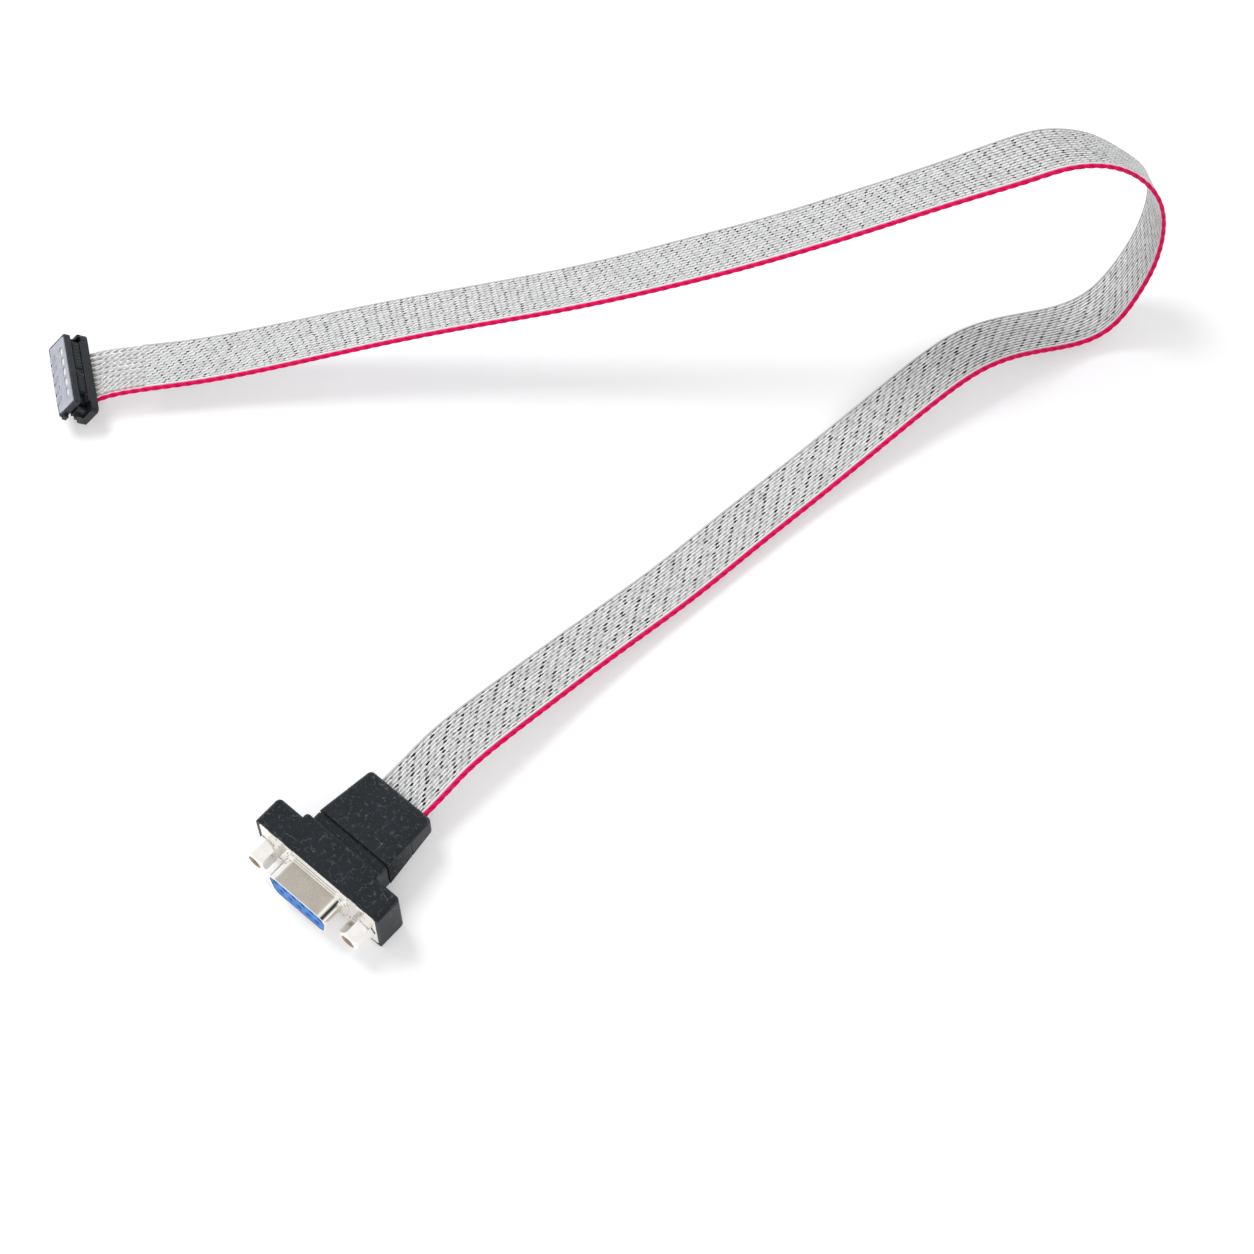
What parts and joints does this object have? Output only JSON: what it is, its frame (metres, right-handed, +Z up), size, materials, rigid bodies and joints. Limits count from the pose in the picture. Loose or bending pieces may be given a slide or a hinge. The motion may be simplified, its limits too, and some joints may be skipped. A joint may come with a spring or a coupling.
{
  "type": "ribbon cable",
  "caption": "Flat grey ribbon cable with a red edge conductor, a D-shaped socket connector in a black moulded hood and a small black header socket.",
  "frame": {"origin": "middle of the underside of the hood's front block, on the surface the cable lies on", "axes": "+X across the D-shaped connector, -Y the way its mating face looks, +Z up"},
  "size_m": [0.1688, 0.2302, 0.0509],
  "materials": {
    "hood": "moulded, fine scratches, satin",
    "shell": "nickel plated, satin grain",
    "rear_shell": "nickel plated",
    "face_block": "moulded, slight gloss",
    "rear_block": "moulded",
    "contacts": "plated",
    "screwlocks": "nickel plated, bright facets",
    "nuts": "plated",
    "ribbon": "soft, fine woven look",
    "red_edge": "soft gloss",
    "socket": "moulded, fine ribs",
    "socket_face": "moulded, fine grain",
    "forks": "tin plated",
    "socket_cover": "moulded"
  },
  "bodies": {
    "root": {"hood": "hood", "front_shell": "shell", "rear_shell": "rear_shell", "front_insulator": "face_block", "rear_insulator": "rear_block", "upper_contacts": "contacts", "lower_contacts": "contacts", "screwlock_left": "screwlocks", "screwlock_right": "screwlocks", "nut_left": "nuts", "nut_right": "nuts", "hood_wires": "ribbon", "ribbon_web": "ribbon", "red_conductor": "red_edge", "socket_wires": "ribbon", "socket_body": "socket", "socket_face": "socket_face", "upper_forks": "forks", "lower_forks": "forks", "socket_cover": "socket_cover"}
  },
  "joints": []
}
